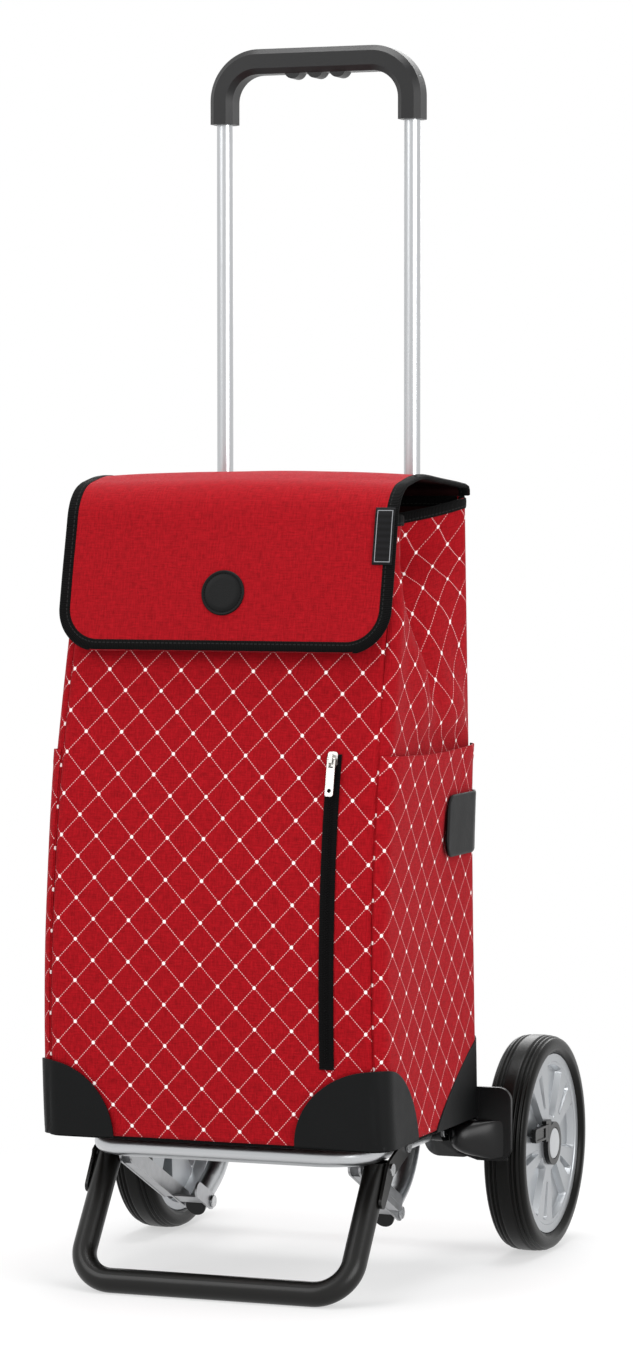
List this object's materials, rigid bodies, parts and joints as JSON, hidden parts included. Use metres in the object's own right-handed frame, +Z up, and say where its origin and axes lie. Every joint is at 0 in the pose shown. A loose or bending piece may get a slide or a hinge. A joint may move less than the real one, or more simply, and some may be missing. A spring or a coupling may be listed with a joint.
{
  "type": "shopping trolley on wheels",
  "caption": "Two-wheeled shopping trolley: upright tube frame with sliding grip, fabric bag with flap lid, folding load platform and standing bar.",
  "frame": {"origin": "on the floor under the middle of the bounding box", "axes": "+Z up along the tubes, -Y the front of the bag, +X the right-hand side seen from the front"},
  "size_m": [0.4094, 0.458, 1.111],
  "materials": {
    "satin_aluminium": "satin anodised",
    "black_moulding": "fine matt mould texture",
    "black_coated_steel": "semi-gloss powder coat",
    "bright_steel": "zinc plated",
    "grey_rim_plastic": "metallic grey, satin",
    "silver_plastic": "metallic silver",
    "tyre_rubber": "matt",
    "printed_red_fabric": "woven, printed dotted diamond lattice",
    "plain_red_fabric": "woven",
    "black_webbing": "woven tape",
    "black_leatherette": "fine grain",
    "grey_board": "plain",
    "zip_metal": "nickel plated"
  },
  "bodies": {
    "frame": {"left_main_tube": "satin_aluminium", "right_main_tube": "satin_aluminium", "left_axle_carrier": "black_moulding", "right_axle_carrier": "black_moulding", "left_side_panel": "printed_red_fabric", "right_side_panel": "printed_red_fabric", "left_side_pocket": "printed_red_fabric", "right_side_pocket": "printed_red_fabric", "left_frame_strap": "black_leatherette", "right_frame_strap": "black_leatherette", "tube_end_plugs": "black_moulding", "toe_rivets": "bright_steel", "tube_bridge": "black_moulding", "axle": "bright_steel", "axle_spacers": "black_moulding", "hinge_pins": "bright_steel", "front_panel": "printed_red_fabric", "back_panel": "printed_red_fabric", "bottom_panel": "printed_red_fabric", "bottom_piping": "black_webbing", "base_board": "grey_board", "corner_patches": "black_leatherette", "zip_tape": "black_webbing"},
    "handle": {"grip": "black_moulding", "tube_glides": "black_moulding", "left_handle_tube": "satin_aluminium", "right_handle_tube": "satin_aluminium"},
    "left_button": {"left_release_button": "black_moulding"},
    "right_button": {"right_release_button": "black_moulding"},
    "lid": {"lid_panel": "plain_red_fabric", "lid_badge": "black_leatherette", "label_tab": "black_webbing"},
    "platform": {"platform_tube": "satin_aluminium", "platform_rivets": "bright_steel", "left_platform_knuckle": "black_moulding", "right_platform_knuckle": "black_moulding"},
    "stand": {"stand_tube": "black_coated_steel", "stand_rivets": "bright_steel", "left_stand_bracket": "black_coated_steel", "right_stand_bracket": "black_coated_steel"},
    "links": {"left_stand_link": "bright_steel", "right_stand_link": "bright_steel"},
    "slider": {"zip_slider": "zip_metal"},
    "puller": {"zip_pull": "zip_metal"},
    "left_wheel": {"left_tyre": "tyre_rubber", "left_wheel_rim": "grey_rim_plastic", "left_wheel_bearings": "bright_steel", "left_hub_ring": "black_moulding", "left_hub_cap": "silver_plastic"},
    "left_lever": {"left_release_lever": "black_moulding"},
    "right_wheel": {"right_tyre": "tyre_rubber", "right_wheel_rim": "grey_rim_plastic", "right_wheel_bearings": "bright_steel", "right_hub_ring": "black_moulding", "right_hub_cap": "silver_plastic"},
    "right_lever": {"right_release_lever": "black_moulding"}
  },
  "joints": [
    {"name": "platform_fold", "type": "hinge", "parent": "frame", "child": "platform", "pos_m": [0, -0.004, 0.126], "axis": [-1, 0, 0], "range_deg": [0, 82], "deforming": ["bottom_panel", "base_board"]},
    {"name": "stand_fold", "type": "hinge", "parent": "platform", "child": "stand", "pos_m": [0, -0.102, 0.126], "axis": [1, 0, 0], "range_deg": [0, 116]},
    {"name": "link_fold", "type": "hinge", "parent": "frame", "child": "links", "pos_m": [0, -0.02004, 0.05223], "axis": [-1, 0, 0], "range_deg": [0, 55]},
    {"name": "handle_slide", "type": "slide", "parent": "frame", "child": "handle", "axis": [0, 0, 1], "range_m": [-0.3, 0]},
    {"name": "lid_open", "type": "hinge", "parent": "frame", "child": "lid", "pos_m": [0, 0.02325, 0.7003], "axis": [-1, 0, 0], "range_deg": [0, 80]},
    {"name": "zip_run", "type": "hinge", "parent": "frame", "child": "slider", "pos_m": [0.11, 0.75814, 0.26896], "axis": [1, 0, 0], "range_deg": [0, 14.4]},
    {"name": "zip_pull_swing", "type": "hinge", "parent": "slider", "child": "puller", "pos_m": [0.11, -0.21014, 0.47462], "axis": [-1, 0, 0], "range_deg": [0, 165]},
    {"name": "left_wheel_spin", "type": "hinge", "parent": "frame", "child": "left_wheel", "pos_m": [-0.185, 0.129, 0.1], "axis": [1, 0, 0], "continuous": true},
    {"name": "left_lever_flip", "type": "hinge", "parent": "left_wheel", "child": "left_lever", "pos_m": [-0.20125, 0.1065, 0.114], "axis": [0, 0, -1], "range_deg": [0, 25], "stiffness_Nm_per_rad": 0.3},
    {"name": "left_button_press", "type": "slide", "parent": "frame", "child": "left_button", "axis": [0, -1, 0], "range_m": [0, 0.0025], "stiffness_N_per_m": 400},
    {"name": "right_wheel_spin", "type": "hinge", "parent": "frame", "child": "right_wheel", "pos_m": [0.185, 0.129, 0.1], "axis": [1, 0, 0], "continuous": true},
    {"name": "right_lever_flip", "type": "hinge", "parent": "right_wheel", "child": "right_lever", "pos_m": [0.20125, 0.1065, 0.114], "axis": [0, 0, 1], "range_deg": [0, 25], "stiffness_Nm_per_rad": 0.3},
    {"name": "right_button_press", "type": "slide", "parent": "frame", "child": "right_button", "axis": [0, -1, 0], "range_m": [0, 0.0025], "stiffness_N_per_m": 400}
  ],
  "couplings": [
    {"joint": "stand_fold", "follows": "platform_fold", "ratio": 1.4111},
    {"joint": "link_fold", "follows": "platform_fold", "ratio": 0.6642}
  ]
}
